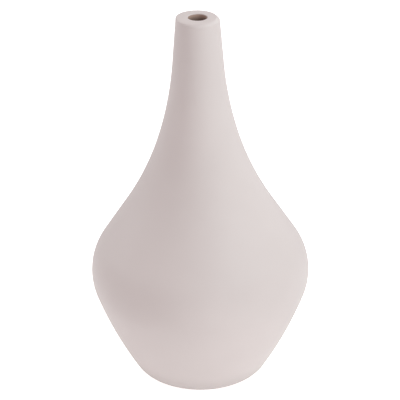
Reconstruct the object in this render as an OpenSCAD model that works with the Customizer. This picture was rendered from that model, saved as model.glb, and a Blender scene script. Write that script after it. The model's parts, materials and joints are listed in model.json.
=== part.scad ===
// Ceramic bud vase: a slip-cast clay body with a matt coat outside, a liner coat inside
// and a felt disc under the foot.
// Millimetres, +Z up. The origin is the centre of the felt's resting face.
//
// Every curved wall is a chain of circles joined by their common tangents, which have no
// length where two circles touch. A circle is [radius of its centre, height of its centre,
// own radius], and its own radius is negative where the wall is hollow. A wall set in by
// some thickness is the same chain with that thickness taken off each circle's own radius.

/* [Overall] */
// Height from the resting face to the top of the lip
vase_h = 210; // [170:1:260]
// Largest diameter, across the belly
belly_d = 121; // [100:1:150]

/* [Foot] */
// Outer diameter of the flat standing ring
foot_d = 55; // [44:1:68]
// Radius of the round between the standing ring and the taper
foot_round = 12; // [9:0.5:16]
// Width of the standing ring
ring_w = 6.5; // [5:0.5:10]
// Depth of the recess inside the standing ring
recess_depth = 1.8; // [1.2:0.1:2]
// Height of the bare clay band that the matt coat leaves above the standing ring
dry_foot_h = 1.2; // [0.8:0.1:4]

/* [Belly] */
// Radius of the slow curve that rises from the foot to the belly
taper_round = 240; // [150:10:600]
// Height of the widest place above the standing ring
belly_rise = 60.5; // [50:0.5:75]
// Radius of the round at the widest place
belly_round = 33; // [24:0.5:40]

/* [Neck] */
// Diameter of the neck where its curve turns upright
neck_d = 26.4; // [24:0.2:34]
// Depth of that place below the top of the lip
neck_drop = 10; // [4:1:30]
// How much larger the radius of the neck's curve is than that of the shoulder's below it
neck_ease = 30; // [5:5:80]
// Slope of the wall, from upright, where the neck's curve meets the shoulder's
neck_turn = 16; // [8:1:20]
// Length of the straight slope between the belly's round and the shoulder's curve
shoulder_flat = 25; // [10:1:34]

/* [Lip] */
// Outer diameter of the lip
lip_d = 23.8; // [22:0.2:30]
// Radius of the lip's outer edge
lip_round = 2.2; // [1:0.1:2.6]
// Radius of the edge between the lip and the bore
mouth_round = 0.5; // [0.5:0.1:1.5]

/* [Hollow] */
// Diameter of the straight bore in the neck
bore_d = 10.4; // [8.4:0.1:13]
// Length of the straight bore
throat_len = 22; // [15:1:30]
// Radius of the curve that opens the bore into the hollow
throat_round = 30; // [15:1:60]
// Thickness of the wall, with both coats
wall = 5.5; // [4:0.1:7]
// Thickness of the floor over the recess, with the liner coat
floor_t = 6; // [4.5:0.1:8]

/* [Coats] */
// Thickness of the fired matt coat and of the liner coat
coat_t = 0.4; // [0.3:0.05:0.45]

/* [Felt] */
// Thickness of the felt disc
felt_t = 2.4; // [2.2:0.1:3.5]
// Gap round the felt disc, to the wall of the recess
felt_gap = 1; // [0.5:0.1:3]

/* [Hidden] */

// Largest distance between a curve and its chords
chord_gap = 0.02;
// Facets round the axis in a quick look
$fn = 128;

// The felt fills the recess and stands proud of the clay by the rest of its thickness
ring_z = felt_t - recess_depth;
recess_r = foot_d / 2 - ring_w;
floor_z = felt_t + floor_t;
mouth_z = vase_h - mouth_round;
throat_z = mouth_z - throat_len;
bore_r = bore_d / 2;

// Place where the shoulder's curve would turn upright, if the neck's did not take over,
// and the one radius that leaves shoulder_flat between that curve and the belly
belly_c = [belly_d / 2 - belly_round, ring_z + belly_rise];
neck_c = [neck_d / 2, vase_h - neck_drop];
upright = neck_c + neck_ease * [1 - cos(neck_turn), -sin(neck_turn)];
reach = upright - belly_c;
shoulder_round = (pow(norm(reach), 2) - pow(belly_round, 2) - pow(shoulder_flat, 2))
    / (2 * (belly_round - reach.x));
neck_round = shoulder_round + neck_ease;

// Outer face of the coated vase, from the standing ring over the lip to the bore
foot = [foot_d / 2, ring_z - coat_t + foot_round, foot_round];
belly = [belly_c.x, belly_c.y, belly_round];
taper = hugging(foot, belly, taper_round);
shoulder = [upright.x + shoulder_round, upright.y, -shoulder_round];
neck = [neck_c.x + neck_round, neck_c.y, -neck_round];
lip = [lip_d / 2 - lip_round, vase_h - lip_round, lip_round];
mouth = [bore_r + mouth_round, mouth_z, mouth_round];
outline = [foot, taper, belly, shoulder, neck, lip, mouth];
under_coat = set_in(outline, coat_t);
// Where the matt coat starts on the foot's round, as the angle of the outward normal
coat_line = -asin(1 - dry_foot_h / foot_round);

// Inner face of the hollow, from the floor to the bottom of the straight bore. The floor's
// round is the foot's, set in by the wall and slid up the taper until it touches the floor
floor_round = foot_round - wall;
floor_drop = taper.y - floor_z - floor_round;
floor_reach = sqrt(pow(taper_round - foot_round, 2) - pow(floor_drop, 2));
floor_edge = [taper.x + floor_reach, taper.y - floor_drop, floor_round];
throat = [bore_r + throat_round, throat_z, -throat_round];
hollow = concat([floor_edge], set_in([taper, belly, shoulder], wall), [throat]);
under_liner = set_in(hollow, -coat_t);

function set_in(chain, t) = [for (c = chain) [c.x, c.y, c.z - t]];

// Circle of a given radius that touches two smaller ones inside it, bulging away from the axis
function hugging(a, b, own) =
    let (
        span = [b.x - a.x, b.y - a.y],
        dir = span / norm(span),
        along = norm(span) / 2 + (pow(own - a.z, 2) - pow(own - b.z, 2)) / (2 * norm(span)),
        aside = sqrt(pow(own - a.z, 2) - pow(along, 2))
    )
    [a.x + along * dir.x - aside * dir.y, a.y + along * dir.y + aside * dir.x, own];

// Angle of the normal to the tangent that joins one circle to the next
function joint_angle(a, b) =
    let (
        across = [b.x - a.x, b.y - a.y],
        lean = max(-1, min(1, (a.z - b.z) / norm(across))),
        turn = atan2(across.y, across.x) - acos(lean)
    )
    turn < -180 ? turn + 360 : turn;

// Points on one circle between two angles, close enough to stay within chord_gap
function arc(c, from, to) =
    let (
        step = 2 * acos(1 - chord_gap / abs(c.z)),
        n = ceil(abs(to - from) / step)
    )
    [for (i = [0:n]) let (a = from + (to - from) * i / n) [c.x + c.z * cos(a), c.y + c.z * sin(a)]];

// Points along a chain of circles, whose normal turns from one angle to another. Two circles
// that touch give the same point, which is kept once
function path(chain, from, to) =
    let (
        last = len(chain) - 1,
        joints = [for (i = [1:last]) joint_angle(chain[i - 1], chain[i])],
        angles = concat([from], joints, [to]),
        points = [for (i = [0:last]) each arc(chain[i], angles[i], angles[i + 1])]
    )
    [points[0], for (i = [1:len(points) - 1]) if (norm(points[i] - points[i - 1]) > chord_gap) points[i]];

function reversed(points) = [for (i = [len(points) - 1:-1:0]) points[i]];

// Every point but the last, where the next list begins with that point
function but_last(points) = [for (i = [0:len(points) - 2]) points[i]];

// Fired clay: recessed base, bare standing ring, wall, lip, bore and hollow
module clay_body() {
    base = [[0, felt_t], [recess_r, felt_t], [recess_r, ring_z]];
    bare_foot = but_last(arc(under_coat[0], -90, coat_line));
    outside = path(under_coat, coat_line, 180);
    inside = reversed(path(under_liner, -90, 0));
    color("#c4ab9f")
        rotate_extrude()
            polygon(concat(base, bare_foot, outside, inside, [[0, floor_z - coat_t]]));
}

// Matt coat: over the outside and the lip, down to the edge of the bore
module matt_coat() {
    color("#d8cdcb")
        rotate_extrude()
            polygon(concat(path(outline, coat_line, 180), reversed(path(under_coat, coat_line, 180))));
}

// Liner coat: down the bore and over the whole hollow, so that the vase holds water
module liner_coat() {
    face = path(hollow, -90, 0);
    back = reversed(path(under_liner, -90, 0));
    top = [[bore_r, mouth_z], [bore_r + coat_t, mouth_z]];
    color("#9a8478")
        rotate_extrude()
            polygon(concat([[0, floor_z]], face, top, back, [[0, floor_z - coat_t]]));
}

// Felt disc: stuck to the ceiling of the recess, the vase stands on it
module felt_disc() {
    color("#8f8a86")
        cylinder(r = recess_r - felt_gap, h = felt_t);
}

clay_body();
matt_coat();
liner_coat();
felt_disc();
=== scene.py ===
"""The looks of a ceramic bud vase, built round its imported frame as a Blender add-on.

Every wall is a chain of rounds joined by their common tangents, which have no length
where two rounds touch, spun round the vase's axis. A round is (radius of its centre,
height of its centre, own radius) in metres, and its own radius is negative where the
wall is hollow.
"""
import json
import math

import bmesh
import bpy
from mathutils import Matrix, Vector, noise


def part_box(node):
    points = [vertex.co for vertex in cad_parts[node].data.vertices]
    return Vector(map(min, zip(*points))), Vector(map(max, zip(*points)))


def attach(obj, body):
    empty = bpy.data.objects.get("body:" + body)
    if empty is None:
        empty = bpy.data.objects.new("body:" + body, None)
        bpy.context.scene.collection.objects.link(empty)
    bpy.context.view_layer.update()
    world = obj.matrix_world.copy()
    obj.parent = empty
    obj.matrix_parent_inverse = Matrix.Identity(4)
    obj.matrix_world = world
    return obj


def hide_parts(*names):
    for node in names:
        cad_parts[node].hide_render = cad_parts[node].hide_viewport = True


bl_info = {
    "name": "Ceramic Bud Vase",
    "version": (1, 0, 0),
    "blender": (4, 5, 0),
    "location": "View3D > Sidebar > Bud Vase",
    "description": "Builds a coated ceramic bud vase, its felt disc and a plain studio",
    "category": "Add Mesh",
}

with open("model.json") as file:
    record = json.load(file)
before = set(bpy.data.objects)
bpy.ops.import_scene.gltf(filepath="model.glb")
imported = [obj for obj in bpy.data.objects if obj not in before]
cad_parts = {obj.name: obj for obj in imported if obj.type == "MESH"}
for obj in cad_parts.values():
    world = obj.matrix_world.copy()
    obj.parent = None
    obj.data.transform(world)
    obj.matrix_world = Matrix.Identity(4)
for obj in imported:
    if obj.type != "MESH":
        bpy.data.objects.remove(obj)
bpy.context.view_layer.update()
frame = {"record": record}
COAT_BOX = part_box("matt_coat")
CLAY_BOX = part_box("clay_body")
LINER_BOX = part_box("liner_coat")
FELT_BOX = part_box("felt_disc")
BORE = next(m for m in frame["record"]["mounts"] if m["name"] == "stem_bore")

MM = 0.001


def length(name, description, default):
    """A size property in metres."""
    return bpy.props.FloatProperty(
        name=name, description=description, default=default, min=0.0,
        unit="LENGTH", subtype="DISTANCE", precision=5)


def colour(name, description, default):
    """A colour property."""
    return bpy.props.FloatVectorProperty(
        name=name, description=description, default=default, min=0.0, max=1.0,
        size=3, subtype="COLOR")


def factor(name, description, default):
    """A share between nothing and all."""
    return bpy.props.FloatProperty(
        name=name, description=description, default=default, min=0.0, max=1.0,
        subtype="FACTOR")


class VaseSizes(bpy.types.PropertyGroup):
    """Sizes of the vase. The outermost ones come from the frame."""

    height: length("Height", "Resting face to the top of the lip", COAT_BOX[1].z)
    belly_d: length("Belly", "Largest diameter", 2 * min(*COAT_BOX[1].xy, *(-COAT_BOX[0]).xy))
    belly_rise: length("Belly rise", "Widest place above the standing ring", 60.5 * MM)
    belly_round: length("Belly round", "Radius of the round at the widest place", 33 * MM)
    taper_round: length("Taper round", "Radius of the slow curve below the belly", 240 * MM)
    foot_d: length("Foot", "Outer diameter of the standing ring", 55 * MM)
    foot_round: length("Foot round", "Radius between the standing ring and the taper", 12 * MM)
    ring_w: length("Ring width", "Width of the standing ring", 6.5 * MM)
    ring_edge: length("Ring edge", "Radius of the ring's inner edge", 0.5 * MM)
    dry_foot: length("Dry foot", "Height of bare clay above the standing ring", 1.2 * MM)
    neck_d: length("Neck", "Diameter where the neck's curve turns upright", 26.4 * MM)
    neck_drop: length("Neck drop", "Depth of that place below the lip", 10 * MM)
    neck_ease: length("Neck ease", "Neck's radius of curve less the shoulder's", 30 * MM)
    neck_turn: bpy.props.FloatProperty(
        name="Neck turn", description="Slope from upright where neck and shoulder meet",
        default=math.radians(16), subtype="ANGLE")
    shoulder_flat: length("Shoulder", "Straight slope between belly and shoulder", 25 * MM)
    lip_d: length("Lip", "Outer diameter of the lip", 23.8 * MM)
    lip_round: length("Lip round", "Radius of the lip's outer edge", 2.2 * MM)
    mouth_round: length("Mouth round", "Radius between the lip and the bore", 0.5 * MM)
    throat_round: length("Throat round", "Radius where the bore opens out", 30 * MM)
    wall: length("Wall", "Thickness of the wall with both coats", 5.5 * MM)
    coat: length("Coat", "Thickness of each fired coat", 0.4 * MM)
    unevenness: length("Unevenness", "Depth of the slow waves in the wall", 0.12 * MM)
    lip_trim: length("Lip trim", "How far the lip's edge stands out where it is crisp", 0.55 * MM)
    lip_wear: length("Lip wear", "How far the lip's edge is worn on the other side", 0.3 * MM)


class VaseFinish(bpy.types.PropertyGroup):
    """Colours and roughness of the vase."""

    coat: colour("Matt coat", "Colour of the outer coat", (0.603, 0.545, 0.529))
    clay: colour("Clay", "Colour of the bare fired clay", (0.48, 0.35, 0.28))
    # Partly the liner's own colour, partly painted shade of the deep bore
    liner: colour("Liner", "Colour of the liner coat", (0.265, 0.187, 0.155))
    felt: colour("Felt", "Colour of the felt disc", (0.16, 0.15, 0.145))
    coat_roughness: factor("Coat roughness", "Roughness of the outer coat", 0.55)


class StudioSettings(bpy.types.PropertyGroup):
    """Camera and lights of the plain studio."""

    distance: length("Distance", "Camera to the vase's axis, along the floor", 1.0)
    eye: length("Eye height", "Height of the camera", 0.5908)
    pitch: bpy.props.FloatProperty(
        name="Pitch", description="Tilt of the camera below the horizon",
        default=math.radians(26.007), subtype="ANGLE")
    roll: bpy.props.FloatProperty(
        name="Roll", description="Turn of the camera about its own axis",
        default=math.radians(-0.6), subtype="ANGLE")
    yaw: bpy.props.FloatProperty(
        name="Yaw", description="Turn of the camera to its left",
        default=math.radians(-0.014), subtype="ANGLE")
    lens: bpy.props.FloatProperty(
        name="Lens", description="Focal length in millimetres", default=182.42,
        min=20.0, max=400.0)
    key: bpy.props.FloatProperty(
        name="Key light", description="Power of the large soft light on the right in watts",
        default=9.3)
    back: bpy.props.FloatProperty(
        name="Back light", description="Power of the light behind on the left in watts",
        default=4.8)
    rim: bpy.props.FloatProperty(
        name="Rim light", description="Power of the light behind on the right in watts",
        default=2.7)
    room: bpy.props.FloatProperty(
        name="Room light", description="Strength of the light from all round", default=0.56)
    glow: bpy.props.FloatProperty(
        name="Floor glow", description="Light from under the paper near the vase", default=0.345)
    paper_white: bpy.props.FloatProperty(
        name="Paper white", description="What the camera adds to the paper's brightness",
        default=0.6)


# Shape

def joint_angle(a, b):
    """Angle of the normal to the tangent that joins one round to the next."""
    across_r = b[0] - a[0]
    across_z = b[1] - a[1]
    lean = (a[2] - b[2]) / math.hypot(across_r, across_z)
    turn = math.atan2(across_z, across_r) - math.acos(max(-1.0, min(1.0, lean)))
    return turn + math.tau if turn < -math.pi else turn


def hugging(a, b, own):
    """The round of radius own that touches two smaller ones inside it."""
    span = math.hypot(b[0] - a[0], b[1] - a[1])
    dir_r = (b[0] - a[0]) / span
    dir_z = (b[1] - a[1]) / span
    along = span / 2 + ((own - a[2]) ** 2 - (own - b[2]) ** 2) / (2 * span)
    aside = math.sqrt((own - a[2]) ** 2 - along ** 2)
    return (a[0] + along * dir_r - aside * dir_z, a[1] + along * dir_z + aside * dir_r, own)


def set_in(rounds, depth):
    """The same chain of rounds, that far inside the wall."""
    return [(r, z, own - depth) for r, z, own in rounds]


class Wall:
    """The vase's rounds, worked out from its sizes."""

    def __init__(self, size):
        self.ring_z = CLAY_BOX[0].z
        self.recess_r = size.foot_d / 2 - size.ring_w
        self.recess_z = FELT_BOX[1].z
        self.mouth_z = LINER_BOX[1].z
        self.floor_z = LINER_BOX[0].z + size.coat
        self.bore_r = BORE["dims"]["r_mm"] * MM
        throat_z = self.mouth_z - BORE["dims"]["length_mm"] * MM
        foot = (size.foot_d / 2, self.ring_z - size.coat + size.foot_round, size.foot_round)
        belly = (size.belly_d / 2 - size.belly_round, self.ring_z + size.belly_rise,
                 size.belly_round)
        taper = hugging(foot, belly, size.taper_round)
        neck_r = size.neck_d / 2
        neck_z = size.height - size.neck_drop
        upright_r = neck_r + size.neck_ease * (1 - math.cos(size.neck_turn))
        upright_z = neck_z - size.neck_ease * math.sin(size.neck_turn)
        reach = math.hypot(upright_r - belly[0], upright_z - belly[1])
        bend = (reach ** 2 - size.belly_round ** 2 - size.shoulder_flat ** 2) \
            / (2 * (size.belly_round - upright_r + belly[0]))
        shoulder = (upright_r + bend, upright_z, -bend)
        neck = (neck_r + bend + size.neck_ease, neck_z, -bend - size.neck_ease)
        self.lip = (size.lip_d / 2 - size.lip_round, size.height - size.lip_round, size.lip_round)
        mouth = (self.bore_r + size.mouth_round, self.mouth_z, size.mouth_round)
        self.outside = [foot, taper, belly, shoulder, neck, self.lip, mouth]
        self.coat_line = -math.asin(1 - size.dry_foot / size.foot_round)

        floor_round = size.foot_round - size.wall
        drop = taper[1] - self.floor_z - floor_round
        floor_reach = math.sqrt((size.taper_round - size.foot_round) ** 2 - drop ** 2)
        floor_edge = (taper[0] + floor_reach, taper[1] - drop, floor_round)
        throat = (self.bore_r + size.throat_round, throat_z, -size.throat_round)
        self.hollow = [floor_edge] + set_in([taper, belly, shoulder], size.wall) + [throat]


TURNS = 192                # faces round the axis of every turned piece
FINE = 0.004 * MM          # how far a visible curve may be from its chords
STRETCH = 2.5 * MM         # longest edge along a visible wall
MERGE = 0.001 * MM         # points closer than this are one point
CREASE = math.radians(40)  # edges sharper than this are shaded as edges
WAVE = 55 * MM             # length of the slow waves in the wall
FELT_SOFT = 1 / 6          # radius of the felt's edges, as a share of its thickness


class Profile:
    """Half a section of a turned piece, drawn point by point in the X-Z plane."""

    def __init__(self):
        self.bm = bmesh.new()
        self.first = None
        self.last = None

    def point(self, r, z):
        """Draws a straight line to a point, unless it is there already."""
        if self.last and (self.last.co - Vector((r, 0.0, z))).length < MERGE:
            return
        vert = self.bm.verts.new((r, 0.0, z))
        if self.last:
            self.bm.edges.new((self.last, vert))
        self.first = self.first or vert
        self.last = vert

    def arc(self, centre, start, end):
        """Draws a straight line to a round, then follows it between two angles."""
        r, z, own = centre
        self.point(r + own * math.cos(start), z + own * math.sin(start))
        step = min(2 * math.acos(1 - FINE / abs(own)), STRETCH / abs(own))
        spun = bmesh.ops.spin(
            self.bm, geom=[self.last], cent=(r, 0.0, z), dvec=(0.0, 0.0, 0.0),
            axis=(0.0, -1.0, 0.0), angle=end - start,
            steps=max(1, math.ceil(abs(end - start) / step)), use_duplicate=False)
        self.last = next(v for v in spun["geom_last"] if isinstance(v, bmesh.types.BMVert))

    def follow(self, rounds, start, end):
        """Follows a chain of rounds while the wall's normal turns from start to end."""
        joints = [joint_angle(a, b) for a, b in zip(rounds, rounds[1:])]
        if start > end:
            rounds = rounds[::-1]
            joints.reverse()
        for centre, a, b in zip(rounds, [start] + joints, joints + [end]):
            self.arc(centre, a, b)

    def close(self):
        """Joins the last point to the first."""
        self.bm.edges.new((self.last, self.first))

    def turn(self):
        """Splits the long edges, then spins the section into a closed solid."""
        bm = self.bm
        for edge in [e for e in bm.edges if e.calc_length() > STRETCH]:
            cuts = math.ceil(edge.calc_length() / STRETCH) - 1
            bmesh.ops.subdivide_edges(bm, edges=[edge], cuts=cuts)
        bmesh.ops.spin(
            bm, geom=bm.verts[:] + bm.edges[:], cent=(0.0, 0.0, 0.0), dvec=(0.0, 0.0, 0.0),
            axis=(0.0, 0.0, 1.0), angle=math.tau, steps=TURNS, use_merge=True,
            use_duplicate=False)
        bmesh.ops.remove_doubles(bm, verts=bm.verts[:], dist=MERGE)
        bmesh.ops.recalc_face_normals(bm, faces=bm.faces[:])
        return bm


def finish_piece(bm, name, material, node):
    """Makes the object, lets it ride on the vase and puts it in place of its node."""
    mesh = bpy.data.meshes.new(name)
    bm.to_mesh(mesh)
    bm.free()
    mesh.polygons.foreach_set("use_smooth", [True] * len(mesh.polygons))
    mesh.set_sharp_from_angle(angle=CREASE)
    mesh.materials.append(material)
    piece = bpy.data.objects.new(name, mesh)
    bpy.context.scene.collection.objects.link(piece)
    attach(piece, "root")
    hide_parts(node)
    return piece


def uneven(bm, size, wall):
    """Slow waves left by casting, cut into the wall, and a lip trimmed a little crooked."""
    lip_r, lip_z = wall.lip[:2]
    for vert in bm.verts:
        radius = math.hypot(vert.co.x, vert.co.y)
        if radius < MERGE:
            continue
        out = Vector((vert.co.x / radius, vert.co.y / radius, 0.0))
        wave = 0.5 + 0.5 * noise.noise(vert.co / WAVE)
        vert.co -= out * size.unevenness * wave
        over_r = radius - lip_r
        over_z = vert.co.z - lip_z
        if over_r > 0 and over_z > 0:
            # 1 at the middle of the lip's edge, 0 at its top and its side
            corner = math.sin(2 * math.atan2(over_z, over_r)) ** 2
            if out.x < 0:
                shift = -size.lip_trim * out.x * corner ** 2
            else:
                shift = -size.lip_wear * out.x * corner
            vert.co += shift * math.sqrt(0.5) * (out + Vector((0.0, 0.0, 1.0)))


# Materials

def tinted(base, share):
    """A colour made lighter or darker by a share."""
    return tuple(min(1.0, c * share) for c in base)


class Look:
    """A node material with the few steps that every finish here needs."""

    def __init__(self, name):
        self.material = bpy.data.materials.new(name)
        self.material.use_nodes = True
        self.tree = self.material.node_tree
        self.shader = next(n for n in self.tree.nodes if n.type == "BSDF_PRINCIPLED")
        self.place = self.add("ShaderNodeTexCoord").outputs["Object"]

    def add(self, kind, **settings):
        """A new node, with its settings, and its unlinked inputs given by name."""
        node = self.tree.nodes.new(kind)
        for key, value in settings.items():
            if key in node.inputs:
                node.inputs[key].default_value = value
            else:
                setattr(node, key, value)
        return node

    def join(self, output, node, name):
        """Links an output to a node's input."""
        self.tree.links.new(output, node.inputs[name])

    def noise(self, size, detail=3.0, roughness=0.5):
        """Noise whose lumps are about size metres across."""
        node = self.add("ShaderNodeTexNoise", Scale=1 / size, Detail=detail, Roughness=roughness)
        self.join(self.place, node, "Vector")
        return node.outputs["Fac"]

    def climb(self, low, high):
        """A value that rises smoothly from 0 at one height to 1 at another."""
        rise = self.add("ShaderNodeSeparateXYZ")
        self.join(self.place, rise, "Vector")
        node = self.add("ShaderNodeMapRange", interpolation_type="SMOOTHSTEP")
        node.inputs["From Min"].default_value = low
        node.inputs["From Max"].default_value = high
        self.join(rise.outputs["Z"], node, "Value")
        return node.outputs["Result"]

    def ramp(self, value, stops):
        """A value mapped through (position, colour or level) stops."""
        node = self.add("ShaderNodeValToRGB")
        elements = node.color_ramp.elements
        while len(elements) < len(stops):
            elements.new(0.5)
        for element, (position, level) in zip(elements, stops):
            element.position = position
            shade = level if hasattr(level, "__len__") else (level,) * 3
            element.color = (*shade, 1.0)
        self.join(value, node, "Fac")
        return node.outputs["Color"]

    def mottle(self, value, base, dark, pale):
        """A colour that varies with a noise between two shares of itself."""
        return self.ramp(value, [(0.3, tinted(base, dark)), (0.7, tinted(base, pale))])

    def spread(self, value, low, high):
        """A value between 0 and 1 stretched to low and high."""
        node = self.add("ShaderNodeMapRange")
        node.inputs["To Min"].default_value = low
        node.inputs["To Max"].default_value = high
        self.join(value, node, "Value")
        return node.outputs["Result"]

    def blend(self, share, a, b, kind="MIX"):
        """Two colours mixed by a share."""
        node = self.add("ShaderNodeMix", data_type="RGBA", blend_type=kind)
        # The node has such sockets for each kind of value: these are the colours'
        sockets = (node.inputs["Factor"], node.inputs[6], node.inputs[7])
        for socket, given in zip(sockets, (share, a, b)):
            if isinstance(given, bpy.types.NodeSocket):
                self.tree.links.new(given, socket)
            elif hasattr(given, "__len__"):
                socket.default_value = (*given[:3], 1.0)
            else:
                socket.default_value = given
        return node.outputs[2]

    def relief(self, height, depth, strength, under=None):
        """A bump of that depth in metres, on top of another if one is given."""
        node = self.add("ShaderNodeBump", Strength=strength, Distance=depth)
        self.join(height, node, "Height")
        if under:
            self.join(under, node, "Normal")
        return node.outputs["Normal"]


# The numbers without a length are the tone's share of the finish's own colour
FOOT_SHADE_RISE = 14 * MM   # height over which painted shade darkens the coat towards the foot
FOOT_SHADE_TONE = 0.9        # at the foot, where the painted shade is deepest
PINHOLE_GAP = 12 * MM  # usual distance between two pinholes in the coat
PINHOLE_SHADE_TONE = 0.7     # painted shade deep in a pinhole
SPILL = 5.5 * MM       # how far the pale coat has run down into the bore; the painted shade deeper down fades in over the same depth
SPILL_TONE = 2.0       # of the liner, at the mouth
DEEP_BORE_SHADE_TONE = 0.75       # of the liner, below the spill: painted shade deep in the bore
GRAIN_GLOSS = 0.06     # how far the coat's roughness varies with its grain


def coat_look(finish):
    """Matt dipped coat: cloudy tone, painted shade darkening it towards the foot, a few pinholes
    painted as dark dots of shade.
    """
    look = Look("matt_coat_finish")
    tone = look.mottle(look.noise(45 * MM, detail=2.0), finish.coat, 0.975, 1.02)
    # Painted shade: the coat's colour darkens towards the foot
    above_foot_shade = look.climb(COAT_BOX[0].z, COAT_BOX[0].z + FOOT_SHADE_RISE)
    tone = look.blend(above_foot_shade, tinted(finish.coat, FOOT_SHADE_TONE), tone)
    grain = look.noise(0.7 * MM, detail=4.0, roughness=0.6)
    # Pinholes are not cut into the coat; the shade inside them is painted as dark dots
    speck = look.add("ShaderNodeTexVoronoi", Scale=1 / PINHOLE_GAP)
    look.join(look.place, speck, "Vector")
    pinhole_shade_dots = look.ramp(speck.outputs["Distance"], [(0.0, 1.0), (0.02, 0.6), (0.035, 0.0)])
    dark = look.blend(0.18, tone, tinted(finish.coat, PINHOLE_SHADE_TONE))
    look.join(look.blend(pinhole_shade_dots, tone, dark), look.shader, "Base Color")
    rough = finish.coat_roughness
    gloss = look.spread(grain, rough - GRAIN_GLOSS, rough + GRAIN_GLOSS)
    look.join(gloss, look.shader, "Roughness")
    peel = look.relief(look.noise(4 * MM, detail=2.0), 0.02 * MM, 0.5)
    fine = look.relief(grain, 0.01 * MM, 0.35, under=peel)
    look.join(fine, look.shader, "Normal")
    look.shader.inputs["IOR"].default_value = 1.45
    return look.material


def clay_look(finish):
    """Bare fired clay: sandy, with dark and pale grains."""
    look = Look("fired_clay_finish")
    sand = look.noise(0.9 * MM, detail=5.0, roughness=0.7)
    tone = look.mottle(look.noise(20 * MM, detail=2.0), finish.clay, 0.92, 1.06)
    grains = look.ramp(sand, [(0.35, 0.72), (0.5, 1.0), (0.68, 1.15)])
    look.join(look.blend(1.0, tone, grains, "MULTIPLY"), look.shader, "Base Color")
    look.join(look.relief(sand, 0.05 * MM, 0.6), look.shader, "Normal")
    look.shader.inputs["Roughness"].default_value = 0.85
    return look.material


def liner_look(finish):
    """Satin liner coat: cloudy, darker deeper down the bore as painted shade, and paler where the
    outer coat has run into the bore.
    """
    look = Look("liner_coat_finish")
    clouds = look.noise(6 * MM, detail=3.0)
    tone = look.mottle(clouds, finish.liner, 0.9, 1.08)
    mouth_z = LINER_BOX[1].z
    # Painted shade: the liner darkens deeper down the bore
    above_bore_shade = look.climb(mouth_z - SPILL, mouth_z)
    tone = look.blend(above_bore_shade, tinted(finish.liner, DEEP_BORE_SHADE_TONE), tone)
    run_in = look.climb(mouth_z - SPILL / 2, mouth_z)
    tone = look.blend(run_in, tone, tinted(finish.liner, SPILL_TONE))
    look.join(tone, look.shader, "Base Color")
    look.join(look.spread(clouds, 0.3, 0.42), look.shader, "Roughness")
    look.join(look.relief(clouds, 0.03 * MM, 0.5), look.shader, "Normal")
    return look.material


def felt_look(finish):
    """Pressed felt: short matted fibres."""
    look = Look("felt_finish")
    fibre = look.noise(0.5 * MM, detail=6.0, roughness=0.75)
    tufts = look.noise(4 * MM, detail=3.0)
    tone = look.mottle(fibre, finish.felt, 0.7, 1.35)
    patches = look.ramp(tufts, [(0.3, 0.1), (0.7, 0.25)])
    look.join(look.blend(0.3, tone, patches), look.shader, "Base Color")
    look.join(look.relief(fibre, 0.2 * MM, 0.8), look.shader, "Normal")
    look.shader.inputs["Roughness"].default_value = 0.95
    look.shader.inputs["Sheen Weight"].default_value = 0.4
    look.shader.inputs["Sheen Roughness"].default_value = 0.6
    return look.material


# Pieces

class VASE_OT_clay(bpy.types.Operator):
    """Turn the clay body: recessed base, bare standing ring, wall, lip and hollow"""

    bl_idname = "vase.clay"
    bl_label = "Clay Body"

    def execute(self, context):
        size = context.scene.vase_sizes
        wall = Wall(size)
        clay = set_in(wall.outside, size.coat)
        edge = size.ring_edge
        section = Profile()
        section.point(0.0, wall.recess_z)
        section.point(wall.recess_r, wall.recess_z)
        section.arc((wall.recess_r + edge, wall.ring_z + edge, edge), -math.pi, -math.pi / 2)
        section.follow(clay, -math.pi / 2, math.pi)
        section.follow(set_in(wall.hollow, -size.coat), 0.0, -math.pi / 2)
        section.point(0.0, wall.floor_z - size.coat)
        bm = section.turn()
        uneven(bm, size, wall)
        look = clay_look(context.scene.vase_finish)
        finish_piece(bm, "vase_clay", look, "clay_body")
        return {"FINISHED"}


class VASE_OT_coat(bpy.types.Operator):
    """Turn the matt coat: over the outside and the lip, down to the edge of the bore"""

    bl_idname = "vase.coat"
    bl_label = "Matt Coat"

    def execute(self, context):
        size = context.scene.vase_sizes
        wall = Wall(size)
        section = Profile()
        section.follow(wall.outside, wall.coat_line, math.pi)
        section.follow(set_in(wall.outside, size.coat), math.pi, wall.coat_line)
        section.close()
        bm = section.turn()
        uneven(bm, size, wall)
        look = coat_look(context.scene.vase_finish)
        finish_piece(bm, "vase_coat", look, "matt_coat")
        return {"FINISHED"}


class VASE_OT_liner(bpy.types.Operator):
    """Turn the liner coat: down the bore and over the whole hollow"""

    bl_idname = "vase.liner"
    bl_label = "Liner Coat"

    def execute(self, context):
        size = context.scene.vase_sizes
        wall = Wall(size)
        section = Profile()
        section.point(0.0, wall.floor_z)
        section.follow(wall.hollow, -math.pi / 2, 0.0)
        section.point(wall.bore_r, wall.mouth_z)
        section.point(wall.bore_r + size.coat, wall.mouth_z)
        section.follow(set_in(wall.hollow, -size.coat), 0.0, -math.pi / 2)
        section.point(0.0, wall.floor_z - size.coat)
        bm = section.turn()
        uneven(bm, size, wall)
        look = liner_look(context.scene.vase_finish)
        finish_piece(bm, "vase_liner", look, "liner_coat")
        return {"FINISHED"}


class VASE_OT_felt(bpy.types.Operator):
    """Cut the felt disc that fills the recess of the base"""

    bl_idname = "vase.felt"
    bl_label = "Felt Disc"

    def execute(self, context):
        thick = FELT_BOX[1].z
        radius = FELT_BOX[1].x
        soft = thick * FELT_SOFT
        section = Profile()
        section.point(0.0, 0.0)
        section.arc((radius - soft, soft, soft), -math.pi / 2, 0.0)
        section.arc((radius - soft, thick - soft, soft), 0.0, math.pi / 2)
        section.point(0.0, thick)
        bm = section.turn()
        look = felt_look(context.scene.vase_finish)
        finish_piece(bm, "vase_felt", look, "felt_disc")
        return {"FINISHED"}


# Studio

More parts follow.
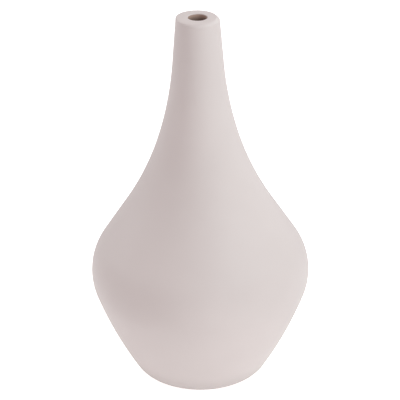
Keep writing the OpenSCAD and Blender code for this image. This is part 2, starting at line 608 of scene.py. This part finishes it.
FLOOR_R = 6.0                    # radius of the floor
GLOW_EDGE = (0.2, 0.3)           # radii between which the glow in the floor fades out
LIGHT_REACH = 1.2                # from the vase's middle to every light
LIGHT_TINT = (0.86, 0.995, 1.0)  # colour of the three lights
ROOM_TINT = (1.0, 0.84, 0.85)    # colour of the light from all round
PAPER = (0.9, 0.9, 0.9)
WHITE = (1.0, 1.0, 1.0)


def add_light(name, aim, power, turned, raised, width, height):
    """A soft light that faces the vase, by its degrees round and above the camera's side."""
    data = bpy.data.lights.new(name, "AREA")
    data.energy = power
    data.color = LIGHT_TINT
    data.shape = "RECTANGLE"
    data.size = width
    data.size_y = height
    light = bpy.data.objects.new(name, data)
    bpy.context.scene.collection.objects.link(light)
    turn = Matrix.Rotation(math.radians(turned), 3, "Z")
    away = turn @ Matrix.Rotation(math.radians(-raised), 3, "X") @ Vector((0.0, -1.0, 0.0))
    light.location = aim + LIGHT_REACH * away
    light.rotation_euler = away.to_track_quat("Z", "Y").to_euler()


class VASE_OT_studio(bpy.types.Operator):
    """Set up the pale floor, the soft lights and the camera"""

    bl_idname = "vase.studio"
    bl_label = "Studio"

    def execute(self, context):
        studio = context.scene.vase_studio
        self.floor(studio)
        self.room(studio)
        middle = Vector((0.0, 0.0, context.scene.vase_sizes.height / 2))
        add_light("key_light", middle, studio.key, 52, 45, width=0.9, height=0.6)
        add_light("back_light", middle, studio.back, -118, 25, width=0.6, height=0.45)
        add_light("rim_light", middle, studio.rim, 140, 30, width=0.6, height=0.45)
        self.camera(studio)
        context.scene.view_settings.view_transform = "Standard"
        return {"FINISHED"}

    def floor(self, studio):
        """A wide round floor under the vase, that glows near it and looks white."""
        bm = bmesh.new()
        bmesh.ops.create_circle(bm, cap_ends=True, segments=64, radius=FLOOR_R)
        mesh = bpy.data.meshes.new("studio_floor")
        bm.to_mesh(mesh)
        bm.free()
        floor = bpy.data.objects.new("studio_floor", mesh)
        bpy.context.scene.collection.objects.link(floor)
        paper = Look("studio_paper")
        paper.shader.inputs["Base Color"].default_value = (*PAPER, 1.0)
        paper.shader.inputs["Roughness"].default_value = 0.9
        paper.shader.inputs["Emission Color"].default_value = (*WHITE, 1.0)
        spread = paper.add("ShaderNodeVectorMath", operation="LENGTH")
        paper.join(paper.place, spread, 0)
        pool = paper.add("ShaderNodeMapRange", interpolation_type="SMOOTHSTEP")
        pool.inputs["From Min"].default_value = GLOW_EDGE[0]
        pool.inputs["From Max"].default_value = GLOW_EDGE[1]
        pool.inputs["To Min"].default_value = studio.glow
        pool.inputs["To Max"].default_value = 0.0
        paper.join(spread.outputs["Value"], pool, "Value")
        seen = paper.add("ShaderNodeMath", operation="MULTIPLY_ADD")
        seen.inputs[1].default_value = studio.paper_white
        paper.join(paper.add("ShaderNodeLightPath").outputs["Is Camera Ray"], seen, 0)
        paper.join(pool.outputs["Result"], seen, 2)
        paper.join(seen.outputs["Value"], paper.shader, "Emission Strength")
        mesh.materials.append(paper.material)

    def room(self, studio):
        """Even light from all round, and a white backdrop for the camera."""
        world = bpy.data.worlds.new("studio_room")
        bpy.context.scene.world = world
        world.use_nodes = True
        tree = world.node_tree
        light = tree.nodes["Background"]
        light.inputs["Color"].default_value = (*ROOM_TINT, 1.0)
        light.inputs["Strength"].default_value = studio.room
        backdrop = tree.nodes.new("ShaderNodeBackground")
        backdrop.inputs["Color"].default_value = (*WHITE, 1.0)
        path = tree.nodes.new("ShaderNodeLightPath")
        mix = tree.nodes.new("ShaderNodeMixShader")
        tree.links.new(path.outputs["Is Camera Ray"], mix.inputs["Fac"])
        tree.links.new(light.outputs["Background"], mix.inputs[1])
        tree.links.new(backdrop.outputs["Background"], mix.inputs[2])
        tree.links.new(mix.outputs["Shader"], tree.nodes["World Output"].inputs["Surface"])

    def camera(self, studio):
        """A long lens in front of the vase, looking down at it."""
        data = bpy.data.cameras.new("studio_camera")
        data.lens = studio.lens
        camera = bpy.data.objects.new("studio_camera", data)
        bpy.context.scene.collection.objects.link(camera)
        camera.matrix_world = (
            Matrix.Translation((0.0, -studio.distance, studio.eye))
            @ Matrix.Rotation(studio.yaw, 4, "Z")
            @ Matrix.Rotation(math.pi / 2 - studio.pitch, 4, "X")
            @ Matrix.Rotation(studio.roll, 4, "Z"))
        bpy.context.scene.camera = camera


class VASE_PT_build(bpy.types.Panel):
    """Lists the pieces and their sizes"""

    bl_label = "Bud Vase"
    bl_idname = "VASE_PT_build"
    bl_space_type = "VIEW_3D"
    bl_region_type = "UI"
    bl_category = "Bud Vase"

    def draw(self, context):
        for operator in OPERATORS:
            self.layout.operator(operator.bl_idname)
        scene = context.scene
        for group in (scene.vase_sizes, scene.vase_finish, scene.vase_studio):
            box = self.layout.box()
            for name in group.__annotations__:
                box.prop(group, name)


OPERATORS = (VASE_OT_clay, VASE_OT_coat, VASE_OT_liner, VASE_OT_felt, VASE_OT_studio)
GROUPS = (VaseSizes, VaseFinish, StudioSettings)


def register():
    for item in GROUPS + OPERATORS + (VASE_PT_build,):
        bpy.utils.register_class(item)
    bpy.types.Scene.vase_sizes = bpy.props.PointerProperty(type=VaseSizes)
    bpy.types.Scene.vase_finish = bpy.props.PointerProperty(type=VaseFinish)
    bpy.types.Scene.vase_studio = bpy.props.PointerProperty(type=StudioSettings)


def unregister():
    del bpy.types.Scene.vase_studio, bpy.types.Scene.vase_finish, bpy.types.Scene.vase_sizes
    for item in reversed(GROUPS + OPERATORS + (VASE_PT_build,)):
        bpy.utils.unregister_class(item)


def main():
    """Registers the add-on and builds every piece."""
    register()
    bpy.ops.vase.clay()
    bpy.ops.vase.coat()
    bpy.ops.vase.liner()
    bpy.ops.vase.felt()
    bpy.ops.vase.studio()


if __name__ == "__main__":
    main()
